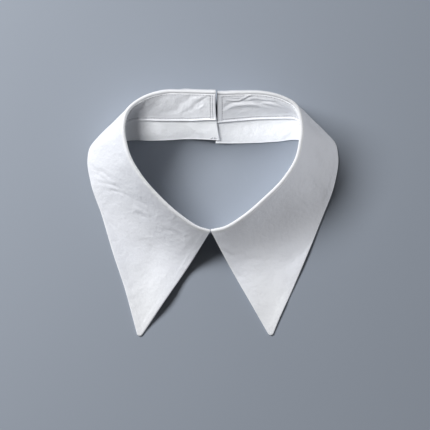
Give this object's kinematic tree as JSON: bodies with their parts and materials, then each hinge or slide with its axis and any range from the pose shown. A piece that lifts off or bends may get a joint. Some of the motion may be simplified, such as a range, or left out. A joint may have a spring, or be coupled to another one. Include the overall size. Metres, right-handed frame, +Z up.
{
  "type": "detachable shirt collar",
  "caption": "A white cotton shirt collar with long points, folded down on its stand and lying open at the back on a table.",
  "frame": {"origin": "On the table, under the middle of the collar's box.", "axes": "+Z is up from the table, +Y points to the centre back of the collar, and +X to the right-hand leaf seen from above."},
  "size_m": [0.2028, 0.196, 0.0487],
  "materials": {
    "leaf_cotton": "matt plain weave, white",
    "stand_cotton": "matt plain weave, white",
    "band_cotton": "matt plain weave, white"
  },
  "bodies": {
    "root": {"leaf_left": "leaf_cotton", "leaf_right": "leaf_cotton", "stand_left": "stand_cotton", "stand_right": "stand_cotton", "band_left": "band_cotton", "band_right": "band_cotton"}
  },
  "joints": []
}
